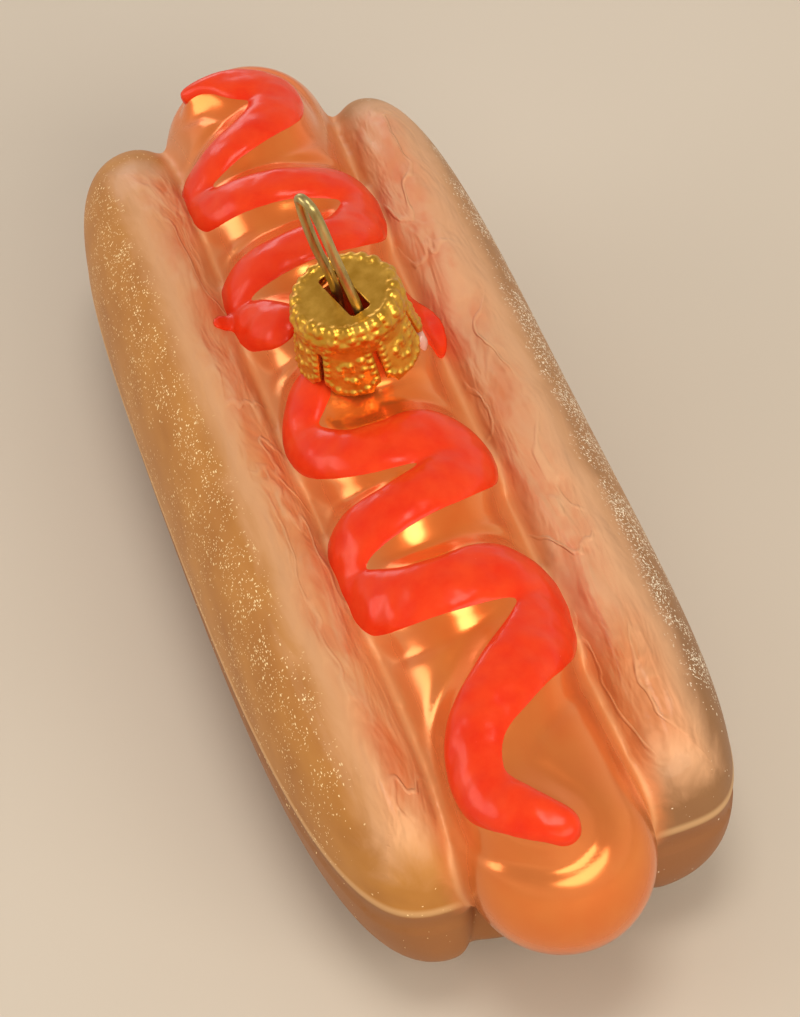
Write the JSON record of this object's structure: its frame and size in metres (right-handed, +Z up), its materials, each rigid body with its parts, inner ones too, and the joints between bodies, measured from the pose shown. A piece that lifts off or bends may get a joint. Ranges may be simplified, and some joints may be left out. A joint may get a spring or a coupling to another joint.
{
  "type": "glass hot dog ornament",
  "caption": "Lying hollow glass tree ornament shaped as a sausage in a split bun under a raised zigzag of ketchup, with a beaded metal crown cap and a wire loop to hang it by.",
  "frame": {"origin": "middle of the outline, on the surface the ornament lies on", "axes": "+X along the sausage towards the end shown nearest, +Y to the right seen from that end, +Z up, the way the cap points"},
  "size_m": [0.114, 0.0402, 0.0511],
  "materials": {
    "painted_glass": "silvered inside, painted outside: frosted glittering tan bun, clear orange sausage, so opaque",
    "ketchup_enamel": "thick glossy red-orange enamel",
    "cap_gold": "bright gold-coloured stamped sheet",
    "wire_brass": "slightly dulled drawn wire"
  },
  "bodies": {
    "root": {"glass_body": "painted_glass", "cap": "cap_gold", "wire_hanger": "wire_brass"}
  },
  "joints": []
}
